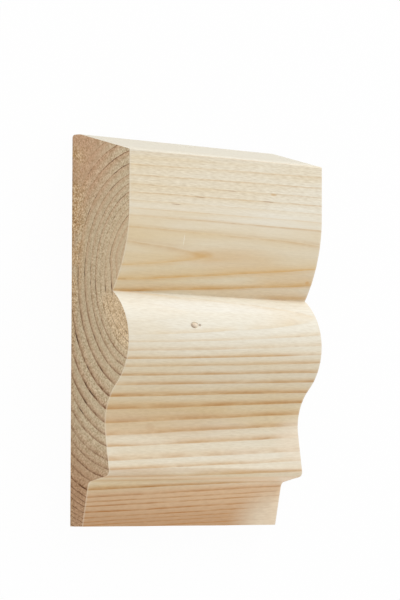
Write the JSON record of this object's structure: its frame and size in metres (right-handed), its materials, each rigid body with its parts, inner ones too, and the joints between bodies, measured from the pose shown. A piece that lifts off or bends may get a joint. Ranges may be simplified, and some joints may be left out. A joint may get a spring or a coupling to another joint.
{
  "type": "wood moulding",
  "caption": "Short sawn length of solid pine trim with a bevelled top edge, roundover, quirk, half-round bead, cove, nosed rebate and thin splayed foot, for covering a joint on a wall.",
  "frame": {"origin": "middle of the flat back face, which lies on the floor", "axes": "+X along the length and the grain, +Y across the width towards the thick bevelled edge, +Z out of the moulded face"},
  "size_m": [0.065, 0.095, 0.021],
  "materials": {
    "pine": "planed faces and sawn ends, bare wood"
  },
  "bodies": {
    "root": {"moulding": "pine"}
  },
  "joints": []
}
